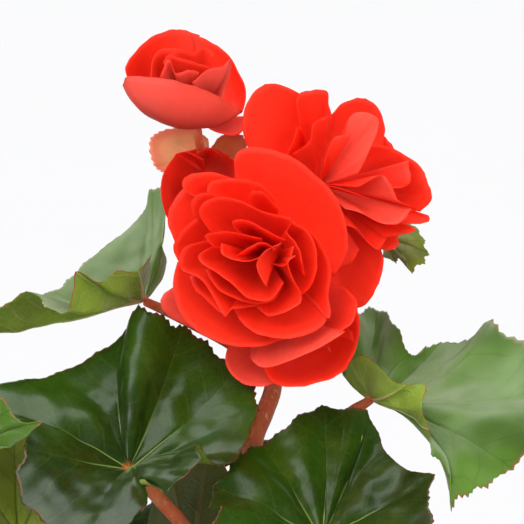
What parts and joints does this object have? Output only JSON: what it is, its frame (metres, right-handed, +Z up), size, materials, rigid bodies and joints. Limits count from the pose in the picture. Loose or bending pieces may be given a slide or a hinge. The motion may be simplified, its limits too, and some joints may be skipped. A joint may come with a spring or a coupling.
{
  "type": "potted begonia",
  "caption": "Potted double-flowered begonia: scarlet layered blooms over glossy toothed leaves on fleshy stems, in a plain round clay pot that stands on its flat foot.",
  "frame": {"origin": "centre of the pot's flat underside, on the surface it stands on", "axes": "+Z up the pot's axis, +X to the viewer's right and +Y away from the viewer in the picture"},
  "size_m": [0.2167, 0.1889, 0.3209],
  "materials": {
    "clay": "matte",
    "soil": "matte",
    "stalk": "satin",
    "leaf": "satin",
    "leaf_light": "satin",
    "petal": "satin",
    "bract": "satin"
  },
  "bodies": {
    "root": {"pot": "clay", "soil": "soil", "stem_flowering": "stalk", "stem_left": "stalk", "stem_right": "stalk", "stem_back": "stalk", "leaf_a": "leaf", "leaf_b": "leaf", "leaf_c": "leaf", "leaf_d": "leaf_light", "leaf_e": "leaf_light", "leaf_f": "leaf_light", "leaf_g": "leaf", "leaf_q": "leaf_light", "leaf_h": "leaf", "leaf_i": "leaf", "leaf_j": "leaf", "leaf_k": "leaf", "leaf_l": "leaf", "leaf_m": "leaf", "leaf_n": "leaf", "leaf_o": "leaf", "leaf_p": "leaf", "bloom_front": "petal", "bloom_right": "petal", "bloom_top": "petal", "bloom_low": "petal", "bloom_rear": "petal", "bract_left": "bract", "bract_right": "bract"}
  },
  "joints": []
}
